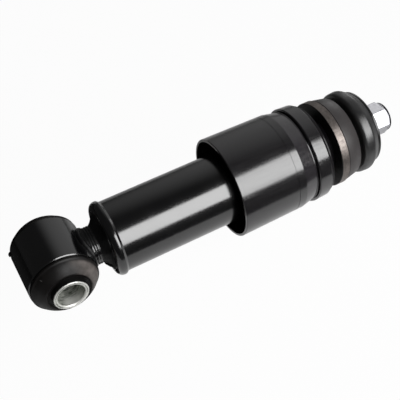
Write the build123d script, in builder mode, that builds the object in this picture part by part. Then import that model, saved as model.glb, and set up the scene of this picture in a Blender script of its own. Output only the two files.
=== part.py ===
from build123d import *
from math import cos, radians, tan
import os

# A twin-tube hydraulic damper for a lorry cab, lying along +X.
# The origin is the centre of the lower eye, whose bolt hole runs along Y.
# X positions are measured from the eye centre, in millimetres.

# Clearances that hold for the whole damper
running_fit = 0.04
push_fit = 0.02
thread_fit = 0.02
stop_clearance = 0.5

# Lower eye
eye_ring_radius = 23.6
eye_ring_wall = 3.4
eye_ring_half_length = 18.2
eye_ring_edge = 0.55
sleeve_radius = 12.1
sleeve_bore_radius = 9.25
sleeve_half_length = 31.1
sleeve_edge = 0.6
bush_lip_radius = 23.1
bush_lip_half_length = 20.3
bush_crown_radius = 19.7
bush_crown_half_length = 24.4
bush_shoulder_radius = 15.8
bush_shoulder_half_length = 28.0
bush_recess_radius = 14.6
bush_recess_half_length = 26.6
eye_bore_radius = eye_ring_radius - eye_ring_wall

# Neck and base of the barrel
neck_radius = 13.2
neck_ripple_count = 3
neck_ripple_pitch = 1.65
neck_ripple_height = 0.3
neck_ripple_start = 24.3
weld_start = 29.5
weld_waist = 32.9
weld_waist_radius = 16.6
weld_radius = 21.0
eye_to_cup = 34.8
cup_radius = 26.45
cup_corner = 4.5
cup_lip_round = 0.8
cup_lip_taper = 1.6
cup_lip_edge = 0.2
cup_floor = 4.5
cup_spigot_length = 2.7
cup_socket_depth = 2.7

# Reserve tube and what closes it
tube_radius = 25.0
tube_wall = 2.0
tube_length = 102.7
closing_ring_thickness = 2.5
closing_ring_bore_radius = 9.6
seal_thickness = 5.0
seal_lip_height = 4.0
seal_hollow_depth = 2.5
seal_lip_width = 1.2
seal_hollow_inner_width = 5.0
seal_hollow_outer_width = 9.0
guide_flange_thickness = 5.5
guide_spigot_length = 5.0
guide_bush_wall = 1.5
guide_bush_length = 9.0
guide_drain_radius = 1.5
guide_drain_circle = 19.0
guide_drain_count = 4

# Pressure tube and foot valve
pressure_tube_bore_radius = 15.0
pressure_tube_wall = 2.0
valve_skirt_length = 4.0
valve_recess_radius = 12.4
valve_recess_depth = 3.0
valve_spigot_length = 5.0
valve_slot_width = 5.0
valve_slot_depth = 2.4
valve_slot_count = 4
intake_hole_radius = 1.4
intake_hole_circle = 10.2
intake_hole_count = 8
blow_hole_radius = 0.9
blow_hole_circle = 6.2
blow_hole_count = 4
valve_disc_thickness = 0.5
intake_disc_inner_radius = 8.2
intake_disc_outer_radius = 12.6
intake_lift = 1.0
blow_disc_radius = 8.0
valve_pin_radius = 2.5
valve_pin_head_radius = 5.0
valve_pin_head_thickness = 1.3
star_spring_thickness = 0.4
star_spring_arms = 3
star_spring_arm_angle = 40
star_spring_overlap = 1.0

# Piston and rod
rod_radius = 8.0
rod_thread_radius = 5.0
rod_tip_chamfer = 0.8
piston_radius = 14.6
piston_length = 11.0
band_width = 7.0
band_depth = 1.0
band_gap = 0.8
check_hole_radius = 1.3
check_hole_circle = 11.4
check_hole_count = 8
rebound_hole_radius = 1.1
rebound_hole_circle = 8.0
rebound_hole_count = 6
check_disc_inner_radius = 9.9
check_disc_outer_radius = 12.9
check_disc_thickness = 0.6
check_lift = 1.0
check_spring_room = 0.2
stop_washer_radius = 12.4
stop_washer_thickness = 1.5
rebound_stop_radius = 13.2
rebound_stop_length = 3.0
shim_thickness = 0.4
shim_radii = [9.7, 8.6, 7.6]
valve_washer_radius = 7.6
valve_washer_thickness = 1.5
piston_nut_flats = 16.0
piston_nut_height = 7.0
piston_nut_protrusion = 1.0
check_spring_hub_width = 2.2

# Travel from the pose in which the damper lies
extension_travel = 10.0
compression_travel = 28.0

# Dust cover and its plate and cap
bump_stop_length = 6.6
bump_stop_radius = 19.0
cover_plate_thickness = 3.0
cover_overlap = 17.40
cover_mouth_radius = 36.44
cover_shoulder_radius = 35.66
cover_cone_drop = 2.17
cover_wall = 1.8
cover_cone_length = 10.2
cover_end_wall = 3.0
cover_mouth_edge = 0.5
cover_end_edge = 0.6
cover_line_to_cone = 5.45
cover_line_width = 0.35
cover_line_depth = 0.25
cap_pad_height = 1.1
cap_pad_inset = 3.5
cap_radius = 35.5
cap_draft = 0.63
cap_rim_length = 9.7
cap_front_round = 0.9
cap_rim_edge = 0.6
cap_ledge_step = 1.55
cap_ledge_slope = 1.7
cap_ledge_length = 1.3
cap_neck_radius = 22.0
cap_neck_length = 7.9
cap_pocket_inner_radius = 15.0
cap_pocket_rim = 3.0
cap_pocket_depth = 8.0

# Stud mounting
stud_radius = 7.0
stud_chamfer = 1.0
stud_protrusion = 0.4
lower_washer_radius = 31.9
lower_washer_thickness = 6.2
lower_washer_edge = 0.35
spacer_wall = 2.9
lower_cushion_inset = 0.4
lower_cushion_taper = 2.25
lower_cushion_height = 11.4
bracket_gap = 3.4
bracket_spigot_radius = 17.0
upper_cushion_seat_radius = 30.4
upper_cushion_flare = 0.36
upper_cushion_skirt = 8.2
upper_cushion_seat_round = 2.5
upper_cushion_height = 13.1
upper_cushion_shoulder_drop = 1.0
upper_cushion_shoulder_shift = 0.4
upper_cushion_edge_drop = 3.25
top_washer_inset = 0.2
top_washer_flat_radius = 20.0
top_washer_hub_radius = 13.0
top_washer_dish = 4.1
top_washer_thickness = 2.0
top_washer_edge = 0.6
top_washer_bend = 0.8
nut_flats = 21.0
nut_hex_height = 15.6
nut_collar_height = 2.4
nut_collar_radius = 10.8
nut_collar_round = 1.4
nut_turn = 50.5
nut_insert_height = 1.4
nut_insert_wall = 1.6

# Places along the axis that follow from the sizes above
tube_start = eye_to_cup + cup_floor
tube_end = tube_start + tube_length
tube_bore_radius = tube_radius - tube_wall
valve_seat = tube_start + cup_spigot_length
pressure_tube_start = valve_seat + valve_skirt_length
pressure_tube_radius = pressure_tube_bore_radius + pressure_tube_wall
valve_top = pressure_tube_start + valve_spigot_length
closing_ring_start = tube_end - closing_ring_thickness
seal_start = closing_ring_start - seal_thickness
guide_flange_start = seal_start - guide_flange_thickness
guide_start = guide_flange_start - guide_spigot_length
guide_bush_radius = rod_radius + guide_bush_wall
rebound_stop_end = guide_start - extension_travel - stop_clearance
rod_shoulder = rebound_stop_end - rebound_stop_length
stop_washer_start = rod_shoulder - stop_washer_thickness
piston_end = stop_washer_start - check_disc_thickness - check_lift - check_spring_room
piston_start = piston_end - piston_length
shims_start = piston_start - shim_thickness * len(shim_radii)
valve_washer_start = shims_start - valve_washer_thickness
piston_nut_start = valve_washer_start - piston_nut_height
rod_start = piston_nut_start - piston_nut_protrusion
bump_stop_start = tube_end + compression_travel + stop_clearance
stud_shoulder = bump_stop_start + bump_stop_length
cover_wall_start = stud_shoulder + cover_plate_thickness
cover_end = cover_wall_start + cover_end_wall
cover_mouth = tube_end - cover_overlap
cover_cone_start = cover_end - cover_cone_length
cover_end_radius = cover_shoulder_radius - cover_cone_drop
cap_rim_start = cover_end + cap_pad_height
cap_rim_end = cap_rim_start + cap_rim_length
cap_ledge_start = cap_rim_end + cap_ledge_slope
cap_ledge_end = cap_ledge_start + cap_ledge_length
cap_far_radius = cap_radius - cap_draft
cap_ledge_radius = cap_far_radius - cap_ledge_step
cap_pad_radius = cap_radius - cap_pad_inset
cap_pocket_outer_radius = cap_pad_radius - cap_pocket_rim
lower_washer_start = cap_ledge_end + cap_neck_length
lower_cushion_start = lower_washer_start + lower_washer_thickness
lower_cushion_base_radius = lower_washer_radius - lower_cushion_inset
lower_cushion_seat_radius = lower_cushion_base_radius - lower_cushion_taper
bracket_seat = lower_cushion_start + lower_cushion_height
bracket_top = bracket_seat + bracket_gap
cushion_joint = (bracket_seat + bracket_top) / 2
top_washer_start = bracket_top + upper_cushion_height
upper_cushion_radius = upper_cushion_seat_radius + upper_cushion_flare
upper_cushion_shoulder_radius = upper_cushion_radius - upper_cushion_shoulder_drop
upper_cushion_edge_radius = upper_cushion_radius - upper_cushion_edge_drop
top_washer_radius = upper_cushion_edge_radius - top_washer_inset
top_washer_hub_start = top_washer_start + top_washer_dish
nut_start = top_washer_hub_start + top_washer_thickness
nut_hex_end = nut_start + nut_hex_height
nut_end = nut_hex_end + nut_collar_height
stud_end = nut_end + stud_protrusion
spacer_radius = stud_radius + spacer_wall
stud_hole_radius = stud_radius + running_fit


def corner(profile, x, radius_here):
    """The corner of a turned profile that lies nearest to a place on its outline."""
    return profile.vertices().sort_by_distance((x, radius_here))[0]


os.makedirs("parts", exist_ok=True)

# Inner sleeve of the lower eye: a steel tube that the mounting bolt clamps
with BuildPart() as eye_inner_sleeve:
    with BuildSketch(Plane.XZ.offset(-sleeve_half_length)):
        Circle(sleeve_radius)
        Circle(sleeve_bore_radius, mode=Mode.SUBTRACT)
    extrude(amount=2 * sleeve_half_length)
    end_rings = eye_inner_sleeve.edges().filter_by(GeomType.CIRCLE)
    chamfer(end_rings, sleeve_edge)
eye_inner_sleeve.part.label = "eye_inner_sleeve"
export_step(eye_inner_sleeve.part, "parts/eye_inner_sleeve.step")

# Rubber bush: it fills the eye ring, bulges out of both ends and carries the sleeve
with BuildPart() as eye_rubber_bush:
    with BuildSketch(Plane.XY) as bush_profile:
        with BuildLine():
            inner_radius = sleeve_radius + running_fit
            outer_radius = eye_bore_radius - push_fit
            Polyline(
                (inner_radius, 0),
                (inner_radius, bush_recess_half_length),
                (bush_recess_radius, bush_recess_half_length),
                (bush_recess_radius, bush_shoulder_half_length),
                (bush_shoulder_radius, bush_shoulder_half_length),
            )
            ThreePointArc(
                (bush_shoulder_radius, bush_shoulder_half_length),
                (bush_crown_radius, bush_crown_half_length),
                (bush_lip_radius, bush_lip_half_length),
            )
            Polyline(
                (bush_lip_radius, bush_lip_half_length),
                (bush_lip_radius, eye_ring_half_length),
                (outer_radius, eye_ring_half_length),
                (outer_radius, 0),
            )
            mirror(about=Plane.XZ)
        make_face()
    revolve(axis=Axis.Y)
eye_rubber_bush.part.label = "eye_rubber_bush"
export_step(eye_rubber_bush.part, "parts/eye_rubber_bush.step")

# Eye ring: a short length of thick tube, welded to the neck
with BuildPart() as eye_ring:
    with BuildSketch(Plane.XZ.offset(-eye_ring_half_length)):
        Circle(eye_ring_radius)
        Circle(eye_bore_radius, mode=Mode.SUBTRACT)
    extrude(amount=2 * eye_ring_half_length)
    outer_rings = eye_ring.edges().filter_by(GeomType.CIRCLE).group_by(SortBy.RADIUS)[-1]
    chamfer(outer_rings, eye_ring_edge)
eye_ring.part.label = "eye_ring"
export_step(eye_ring.part, "parts/eye_ring.step")

# Neck: a stub with three weld ripples, cut to the ring at one end, with a weld fillet at the other
with BuildPart() as neck_stub:
    with BuildSketch(Plane.XY):
        with BuildLine():
            Polyline((0, 0), (0, neck_radius), (neck_ripple_start, neck_radius))
            for ripple in range(neck_ripple_count):
                ripple_start = neck_ripple_start + ripple * neck_ripple_pitch
                ThreePointArc(
                    (ripple_start, neck_radius),
                    (ripple_start + neck_ripple_pitch / 2, neck_radius + neck_ripple_height),
                    (ripple_start + neck_ripple_pitch, neck_radius),
                )
            ripples_end = neck_ripple_start + neck_ripple_count * neck_ripple_pitch
            Polyline(
                (ripples_end, neck_radius),
                (weld_start, neck_radius),
            )
            ThreePointArc(
                (weld_start, neck_radius),
                (weld_waist, weld_waist_radius),
                (eye_to_cup, weld_radius),
            )
            Polyline((eye_to_cup, weld_radius), (eye_to_cup, 0), (0, 0))
        make_face()
    revolve(axis=Axis.X)
    with BuildSketch(Plane.XZ.offset(-eye_ring_half_length - neck_radius)):
        Circle(eye_ring_radius)
    extrude(amount=2 * (eye_ring_half_length + neck_radius), mode=Mode.SUBTRACT)
neck_stub.part.label = "neck_stub"
export_step(neck_stub.part, "parts/neck_stub.step")

# Base cup: closes the reserve tube, which stands in a socket behind its tapered lip
cup_end = tube_start + cup_socket_depth
cup_lip_crest = cup_end - cup_lip_taper
with BuildPart() as base_cup:
    with BuildSketch(Plane.XY) as cup_profile:
        with BuildLine():
            Polyline(
                (eye_to_cup, 0),
                (eye_to_cup, cup_radius),
                (cup_lip_crest, cup_radius),
                (cup_end, tube_radius + push_fit + cup_lip_edge),
                (cup_end, tube_radius + push_fit),
                (tube_start, tube_radius + push_fit),
                (tube_start, tube_bore_radius - push_fit),
                (valve_seat, tube_bore_radius - push_fit),
                (valve_seat, 0),
                close=True,
            )
        make_face()
        fillet(corner(cup_profile, eye_to_cup, cup_radius), cup_corner)
        fillet(corner(cup_profile, cup_lip_crest, cup_radius), cup_lip_round)
    revolve(axis=Axis.X)
base_cup.part.label = "base_cup"
export_step(base_cup.part, "parts/base_cup.step")

# Reserve tube: the visible barrel, which holds the spare oil around the pressure tube
with BuildPart() as reserve_tube:
    with BuildSketch(Plane.YZ.offset(tube_start)):
        Circle(tube_radius)
        Circle(tube_bore_radius, mode=Mode.SUBTRACT)
    extrude(amount=tube_length)
reserve_tube.part.label = "reserve_tube"
export_step(reserve_tube.part, "parts/reserve_tube.step")

# Pressure tube: the working cylinder, held between the foot valve and the rod guide
with BuildPart() as pressure_tube:
    with BuildSketch(Plane.YZ.offset(pressure_tube_start)):
        Circle(pressure_tube_radius)
        Circle(pressure_tube_bore_radius, mode=Mode.SUBTRACT)
    extrude(amount=guide_flange_start - pressure_tube_start)
pressure_tube.part.label = "pressure_tube"
export_step(pressure_tube.part, "parts/pressure_tube.step")

# Foot valve body: lets oil pass between the two tubes, through slots under its skirt
with BuildPart() as foot_valve_body:
    with BuildSketch(Plane.XY):
        with BuildLine():
            Polyline(
                (valve_seat, valve_recess_radius),
                (valve_seat, pressure_tube_radius),
                (pressure_tube_start, pressure_tube_radius),
                (pressure_tube_start, pressure_tube_bore_radius - push_fit),
                (valve_top, pressure_tube_bore_radius - push_fit),
                (valve_top, valve_pin_radius + push_fit),
                (valve_seat + valve_recess_depth, valve_pin_radius + push_fit),
                (valve_seat + valve_recess_depth, valve_recess_radius),
                close=True,
            )
        make_face()
    revolve(axis=Axis.X)
    with BuildSketch(Plane.YZ.offset(valve_seat)):
        with PolarLocations(pressure_tube_radius, valve_slot_count):
            Rectangle(pressure_tube_radius, valve_slot_width)
        Circle(valve_recess_radius, mode=Mode.SUBTRACT)
    extrude(amount=valve_slot_depth, mode=Mode.SUBTRACT)
    with BuildSketch(Plane.YZ.offset(valve_top)):
        with PolarLocations(intake_hole_circle, intake_hole_count):
            Circle(intake_hole_radius)
        with PolarLocations(blow_hole_circle, blow_hole_count):
            Circle(blow_hole_radius)
    extrude(amount=valve_seat - valve_top, mode=Mode.SUBTRACT)
foot_valve_body.part.label = "foot_valve_body"
export_step(foot_valve_body.part, "parts/foot_valve_body.step")

# Intake disc: lifts off the foot valve when the damper is drawn out
with BuildPart() as foot_intake_disc:
    with BuildSketch(Plane.YZ.offset(valve_top)):
        Circle(intake_disc_outer_radius)
        Circle(intake_disc_inner_radius, mode=Mode.SUBTRACT)
    extrude(amount=valve_disc_thickness)
foot_intake_disc.part.label = "foot_intake_disc"
export_step(foot_intake_disc.part, "parts/foot_intake_disc.step")

# Blow-off disc: bends off the underside of the foot valve when the damper is pushed in
blow_disc_end = valve_seat + valve_recess_depth
blow_disc_start = blow_disc_end - valve_disc_thickness
with BuildPart() as foot_blow_disc:
    with BuildSketch(Plane.YZ.offset(blow_disc_start)):
        Circle(blow_disc_radius)
        Circle(valve_pin_radius + push_fit, mode=Mode.SUBTRACT)
    extrude(amount=valve_disc_thickness)
foot_blow_disc.part.label = "foot_blow_disc"
export_step(foot_blow_disc.part, "parts/foot_blow_disc.step")

# Star spring of the intake disc: a hub ring under the pin's head, with sloping arms to the disc
intake_spring_hub = valve_top + valve_disc_thickness + intake_lift
valve_pin_top = intake_spring_hub + star_spring_thickness
with BuildPart() as foot_intake_spring:
    with BuildSketch(Plane.YZ.offset(intake_spring_hub)):
        Circle(valve_pin_head_radius)
        Circle(valve_pin_radius + push_fit, mode=Mode.SUBTRACT)
    extrude(amount=star_spring_thickness)
    for arm in range(star_spring_arms):
        with BuildSketch(Plane.XY.rotated((arm * 360 / star_spring_arms, 0, 0))):
            with BuildLine():
                arm_foot = valve_top + valve_disc_thickness
                Polyline(
                    (intake_spring_hub, valve_pin_head_radius - star_spring_overlap),
                    (valve_pin_top, valve_pin_head_radius - star_spring_overlap),
                    (arm_foot + star_spring_thickness, intake_disc_inner_radius + star_spring_overlap),
                    (arm_foot, intake_disc_inner_radius + star_spring_overlap),
                    close=True,
                )
            make_face()
        revolve(axis=Axis.X, revolution_arc=star_spring_arm_angle)
foot_intake_spring.part.label = "foot_intake_spring"
export_step(foot_intake_spring.part, "parts/foot_intake_spring.step")

# Foot valve pin: a rivet that holds both discs and the spring on the body
with BuildPart() as foot_valve_pin:
    with BuildSketch(Plane.YZ.offset(blow_disc_start - valve_pin_head_thickness)):
        Circle(valve_pin_head_radius)
    extrude(amount=valve_pin_head_thickness)
    with BuildSketch(Plane.YZ.offset(blow_disc_start)):
        Circle(valve_pin_radius)
    extrude(amount=valve_pin_top - blow_disc_start)
    with BuildSketch(Plane.YZ.offset(valve_pin_top)):
        Circle(valve_pin_head_radius)
    extrude(amount=valve_pin_head_thickness)
foot_valve_pin.part.label = "foot_valve_pin"
export_step(foot_valve_pin.part, "parts/foot_valve_pin.step")

# Rod guide: centres the pressure tube in the reserve tube and carries the guide bush
with BuildPart() as rod_guide:
    with BuildSketch(Plane.XY):
        with BuildLine():
            Polyline(
                (guide_start, guide_bush_radius),
                (guide_start, pressure_tube_bore_radius - push_fit),
                (guide_flange_start, pressure_tube_bore_radius - push_fit),
                (guide_flange_start, tube_bore_radius - push_fit),
                (seal_start, tube_bore_radius - push_fit),
                (seal_start, guide_bush_radius),
                close=True,
            )
        make_face()
    revolve(axis=Axis.X)
    with BuildSketch(Plane.YZ.offset(guide_flange_start)):
        with PolarLocations(guide_drain_circle, guide_drain_count):
            Circle(guide_drain_radius)
    extrude(amount=guide_flange_thickness, mode=Mode.SUBTRACT)
rod_guide.part.label = "rod_guide"
export_step(rod_guide.part, "parts/rod_guide.step")

# Guide bush: the plain bearing of the piston rod
with BuildPart() as guide_bush:
    with BuildSketch(Plane.YZ.offset(seal_start - guide_bush_length)):
        Circle(guide_bush_radius - push_fit)
        Circle(rod_radius + running_fit, mode=Mode.SUBTRACT)
    extrude(amount=guide_bush_length)
guide_bush.part.label = "guide_bush"
export_step(guide_bush.part, "parts/guide_bush.step")

# Oil seal: a thick rubber disc, hollowed on its outer side, whose lip wipes the rod
seal_lip_radius = rod_radius + seal_lip_width
seal_hollow_radius = rod_radius + seal_hollow_inner_width
seal_rim_radius = rod_radius + seal_hollow_outer_width
with BuildPart() as oil_seal:
    with BuildSketch(Plane.XY):
        with BuildLine():
            Polyline(
                (seal_start, rod_radius + running_fit),
                (seal_start, tube_bore_radius - push_fit),
                (closing_ring_start, tube_bore_radius - push_fit),
                (closing_ring_start, seal_rim_radius),
                (seal_start + seal_hollow_depth, seal_hollow_radius),
                (seal_start + seal_hollow_depth, seal_lip_radius),
                (seal_start + seal_lip_height, seal_lip_radius),
                (seal_start + seal_lip_height, rod_radius + running_fit),
                close=True,
            )
        make_face()
    revolve(axis=Axis.X)
oil_seal.part.label = "oil_seal"
export_step(oil_seal.part, "parts/oil_seal.step")

# Closing ring: a steel disc welded flush in the end of the reserve tube
with BuildPart() as closing_ring:
    with BuildSketch(Plane.YZ.offset(closing_ring_start)):
        Circle(tube_bore_radius - push_fit)
        Circle(closing_ring_bore_radius, mode=Mode.SUBTRACT)
    extrude(amount=closing_ring_thickness)
closing_ring.part.label = "closing_ring"
export_step(closing_ring.part, "parts/closing_ring.step")

# Piston rod: a hard-chromed bar, turned down for the piston and for the mounting stud
with BuildPart() as piston_rod:
    with BuildSketch(Plane.XY) as rod_profile:
        with BuildLine():
            Polyline(
                (rod_start, 0),
                (rod_start, rod_thread_radius),
                (rod_shoulder, rod_thread_radius),
                (rod_shoulder, rod_radius),
                (stud_shoulder, rod_radius),
                (stud_shoulder, stud_radius),
                (stud_end, stud_radius),
                (stud_end, 0),
                close=True,
            )
        make_face()
        chamfer(corner(rod_profile, rod_start, rod_thread_radius), rod_tip_chamfer)
        chamfer(corner(rod_profile, stud_end, stud_radius), stud_chamfer)
    revolve(axis=Axis.X)
piston_rod.part.label = "piston_rod"
export_step(piston_rod.part, "parts/piston_rod.step")

# Piston: a sintered disc with two circles of oil passages and a groove for its band
band_start = piston_start + (piston_length - band_width) / 2
with BuildPart() as piston:
    with BuildSketch(Plane.XY):
        with BuildLine():
            Polyline(
                (piston_start, rod_thread_radius + push_fit),
                (piston_start, piston_radius),
                (band_start, piston_radius),
                (band_start, piston_radius - band_depth),
                (band_start + band_width, piston_radius - band_depth),
                (band_start + band_width, piston_radius),
                (piston_end, piston_radius),
                (piston_end, rod_thread_radius + push_fit),
                close=True,
            )
        make_face()
    revolve(axis=Axis.X)
    with BuildSketch(Plane.YZ.offset(piston_start)):
        with PolarLocations(check_hole_circle, check_hole_count):
            Circle(check_hole_radius)
        with PolarLocations(rebound_hole_circle, rebound_hole_count):
            Circle(rebound_hole_radius)
    extrude(amount=piston_length, mode=Mode.SUBTRACT)
piston.part.label = "piston"
export_step(piston.part, "parts/piston.step")

# Piston band: a split low-friction ring that slides in the pressure tube
band_side_clearance = 0.1
with BuildPart() as piston_band:
    with BuildSketch(Plane.YZ.offset(band_start + band_side_clearance)):
        Circle(pressure_tube_bore_radius - running_fit)
        Circle(piston_radius - band_depth + running_fit, mode=Mode.SUBTRACT)
        with Locations((0, piston_radius)):
            Rectangle(band_gap, 4 * band_depth, mode=Mode.SUBTRACT)
    extrude(amount=band_width - 2 * band_side_clearance)
piston_band.part.label = "piston_band"
export_step(piston_band.part, "parts/piston_band.step")

# Rebound shims: a stack of thin discs, widest at the piston, that meter the outward stroke
with BuildPart() as rebound_shims:
    for number, shim_radius in enumerate(shim_radii):
        with BuildSketch(Plane.YZ.offset(piston_start - number * shim_thickness)):
            Circle(shim_radius)
            Circle(rod_thread_radius + push_fit, mode=Mode.SUBTRACT)
        extrude(amount=-shim_thickness)
rebound_shims.part.label = "rebound_shims"
export_step(rebound_shims.part, "parts/rebound_shims.step")

# Valve washer: spreads the piston nut's load on the shims
with BuildPart() as valve_washer:
    with BuildSketch(Plane.YZ.offset(valve_washer_start)):
        Circle(valve_washer_radius)
        Circle(rod_thread_radius + push_fit, mode=Mode.SUBTRACT)
    extrude(amount=valve_washer_thickness)
valve_washer.part.label = "valve_washer"
export_step(valve_washer.part, "parts/valve_washer.step")

# Piston nut: clamps the piston against the stop washer
with BuildPart() as piston_nut:
    with BuildSketch(Plane.YZ.offset(piston_nut_start)):
        RegularPolygon(piston_nut_flats / 2, 6, major_radius=False)
        Circle(rod_thread_radius + thread_fit, mode=Mode.SUBTRACT)
    extrude(amount=piston_nut_height)
piston_nut.part.label = "piston_nut"
export_step(piston_nut.part, "parts/piston_nut.step")

# Check disc: lifts off the piston's outer passages on the inward stroke
with BuildPart() as piston_check_disc:
    with BuildSketch(Plane.YZ.offset(piston_end)):
        Circle(check_disc_outer_radius)
        Circle(check_disc_inner_radius, mode=Mode.SUBTRACT)
    extrude(amount=check_disc_thickness)
piston_check_disc.part.label = "piston_check_disc"
export_step(piston_check_disc.part, "parts/piston_check_disc.step")

# Star spring of the check disc: its hub ring lies under the stop washer
check_spring_hub = stop_washer_start - star_spring_thickness
check_spring_hub_radius = rod_thread_radius + check_spring_hub_width
with BuildPart() as piston_check_spring:
    with BuildSketch(Plane.YZ.offset(check_spring_hub)):
        Circle(check_spring_hub_radius)
        Circle(rod_thread_radius + push_fit, mode=Mode.SUBTRACT)
    extrude(amount=star_spring_thickness)
    for arm in range(star_spring_arms):
        with BuildSketch(Plane.XY.rotated((arm * 360 / star_spring_arms, 0, 0))):
            with BuildLine():
                arm_foot = piston_end + check_disc_thickness
                Polyline(
                    (check_spring_hub, check_spring_hub_radius - star_spring_overlap),
                    (stop_washer_start, check_spring_hub_radius - star_spring_overlap),
                    (arm_foot + star_spring_thickness, check_disc_inner_radius + star_spring_overlap),
                    (arm_foot, check_disc_inner_radius + star_spring_overlap),
                    close=True,
                )
            make_face()
        revolve(axis=Axis.X, revolution_arc=star_spring_arm_angle)
piston_check_spring.part.label = "piston_check_spring"
export_step(piston_check_spring.part, "parts/piston_check_spring.step")

# Stop washer: sits on the rod's shoulder and limits the check disc's lift
with BuildPart() as stop_washer:
    with BuildSketch(Plane.YZ.offset(stop_washer_start)):
        Circle(stop_washer_radius)
        Circle(rod_thread_radius + push_fit, mode=Mode.SUBTRACT)
    extrude(amount=stop_washer_thickness)
stop_washer.part.label = "stop_washer"
export_step(stop_washer.part, "parts/stop_washer.step")

# Rebound stop: a tough plastic ring that meets the rod guide when the damper is fully out
with BuildPart() as rebound_stop:
    with BuildSketch(Plane.YZ.offset(rod_shoulder)):
        Circle(rebound_stop_radius)
        Circle(rod_radius + push_fit, mode=Mode.SUBTRACT)
    extrude(amount=rebound_stop_length)
rebound_stop.part.label = "rebound_stop"
export_step(rebound_stop.part, "parts/rebound_stop.step")

# Bump stop: a rubber ring under the cover plate that meets the closing ring
with BuildPart() as bump_stop:
    with BuildSketch(Plane.YZ.offset(bump_stop_start)):
        Circle(bump_stop_radius)
        Circle(rod_radius + push_fit, mode=Mode.SUBTRACT)
    extrude(amount=bump_stop_length)
bump_stop.part.label = "bump_stop"
export_step(bump_stop.part, "parts/bump_stop.step")

# Cover plate: a steel disc on the stud's shoulder that carries the dust cover
cover_bore_slope = cover_cone_drop / cover_cone_length
cover_bore_drop = cover_bore_slope * (cover_wall_start - cover_cone_start)
cover_bore_end_radius = cover_shoulder_radius - cover_wall - cover_bore_drop
with BuildPart() as cover_plate:
    with BuildSketch(Plane.YZ.offset(stud_shoulder)):
        Circle(cover_bore_end_radius - push_fit)
        Circle(stud_hole_radius, mode=Mode.SUBTRACT)
    extrude(amount=cover_plate_thickness)
cover_plate.part.label = "cover_plate"
export_step(cover_plate.part, "parts/cover_plate.step")

# Dust cover: a thin plastic shell, open towards the eye, with a fine line and a tapered closed end
cover_line_end = cover_cone_start - cover_line_to_cone
cover_line_start = cover_line_end - cover_line_width
cover_draft = (cover_mouth_radius - cover_shoulder_radius) / (cover_cone_start - cover_mouth)
cover_line_radius = cover_shoulder_radius + cover_draft * cover_line_to_cone
with BuildPart() as dust_cover:
    with BuildSketch(Plane.XY) as cover_profile:
        with BuildLine():
            Polyline(
                (cover_mouth, cover_mouth_radius - cover_wall),
                (cover_mouth, cover_mouth_radius),
                (cover_line_start, cover_line_radius),
                (cover_line_start, cover_line_radius - cover_line_depth),
                (cover_line_end, cover_line_radius - cover_line_depth),
                (cover_line_end, cover_line_radius),
                (cover_cone_start, cover_shoulder_radius),
                (cover_end, cover_end_radius),
                (cover_end, stud_hole_radius),
                (cover_wall_start, stud_hole_radius),
                (cover_wall_start, cover_bore_end_radius),
                (cover_cone_start, cover_shoulder_radius - cover_wall),
                close=True,
            )
        make_face()
        fillet(corner(cover_profile, cover_mouth, cover_mouth_radius), cover_mouth_edge)
        fillet(corner(cover_profile, cover_end, cover_end_radius), cover_end_edge)
    revolve(axis=Axis.X)
dust_cover.part.label = "dust_cover"
export_step(dust_cover.part, "parts/dust_cover.step")

# Cover cap: a moulded ring with a neck, which clamps the cover and carries the lower washer
with BuildPart() as cover_cap:
    with BuildSketch(Plane.XY) as cap_profile:
        with BuildLine():
            Polyline(
                (cover_end, stud_hole_radius),
                (cover_end, cap_pocket_inner_radius),
                (cover_end + cap_pocket_depth, cap_pocket_inner_radius),
                (cover_end + cap_pocket_depth, cap_pocket_outer_radius),
                (cover_end, cap_pocket_outer_radius),
                (cover_end, cap_pad_radius),
                (cap_rim_start, cap_pad_radius),
                (cap_rim_start, cap_radius),
                (cap_rim_end, cap_far_radius),
                (cap_ledge_start, cap_ledge_radius),
                (cap_ledge_end, cap_ledge_radius),
                (cap_ledge_end, cap_neck_radius),
                (lower_washer_start, cap_neck_radius),
                (lower_washer_start, stud_hole_radius),
                close=True,
            )
        make_face()
        fillet(corner(cap_profile, cap_rim_start, cap_radius), cap_front_round)
        fillet(corner(cap_profile, cap_rim_end, cap_far_radius), cap_rim_edge)
        fillet(corner(cap_profile, cap_ledge_end, cap_ledge_radius), cap_rim_edge)
    revolve(axis=Axis.X)
cover_cap.part.label = "cover_cap"
export_step(cover_cap.part, "parts/cover_cap.step")

# Lower washer: the thick turned steel ring that backs the lower cushion
with BuildPart() as lower_washer:
    with BuildSketch(Plane.YZ.offset(lower_washer_start)):
        Circle(lower_washer_radius)
    extrude(amount=lower_washer_thickness)
    chamfer(lower_washer.edges().filter_by(GeomType.CIRCLE), lower_washer_edge)
    with BuildSketch(Plane.YZ.offset(lower_washer_start)):
        Circle(stud_hole_radius)
    extrude(amount=lower_washer_thickness, mode=Mode.SUBTRACT)
lower_washer.part.label = "lower_washer"
export_step(lower_washer.part, "parts/lower_washer.step")

# Spacer sleeve: keeps the nut from crushing the rubber cushions
with BuildPart() as spacer_sleeve:
    with BuildSketch(Plane.YZ.offset(lower_cushion_start)):
        Circle(spacer_radius)
        Circle(stud_hole_radius, mode=Mode.SUBTRACT)
    extrude(amount=top_washer_hub_start - lower_cushion_start)
spacer_sleeve.part.label = "spacer_sleeve"
export_step(spacer_sleeve.part, "parts/spacer_sleeve.step")

# Lower cushion: a tapered rubber ring under the cab bracket, with a spigot for its hole
with BuildPart() as lower_cushion:
    with BuildSketch(Plane.XY):
        with BuildLine():
            Polyline(
                (lower_cushion_start, spacer_radius + push_fit),
                (lower_cushion_start, lower_cushion_base_radius),
                (bracket_seat, lower_cushion_seat_radius),
                (bracket_seat, bracket_spigot_radius),
                (cushion_joint, bracket_spigot_radius),
                (cushion_joint, spacer_radius + push_fit),
                close=True,
            )
        make_face()
    revolve(axis=Axis.X)
lower_cushion.part.label = "lower_cushion"
export_step(lower_cushion.part, "parts/lower_cushion.step")

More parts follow.
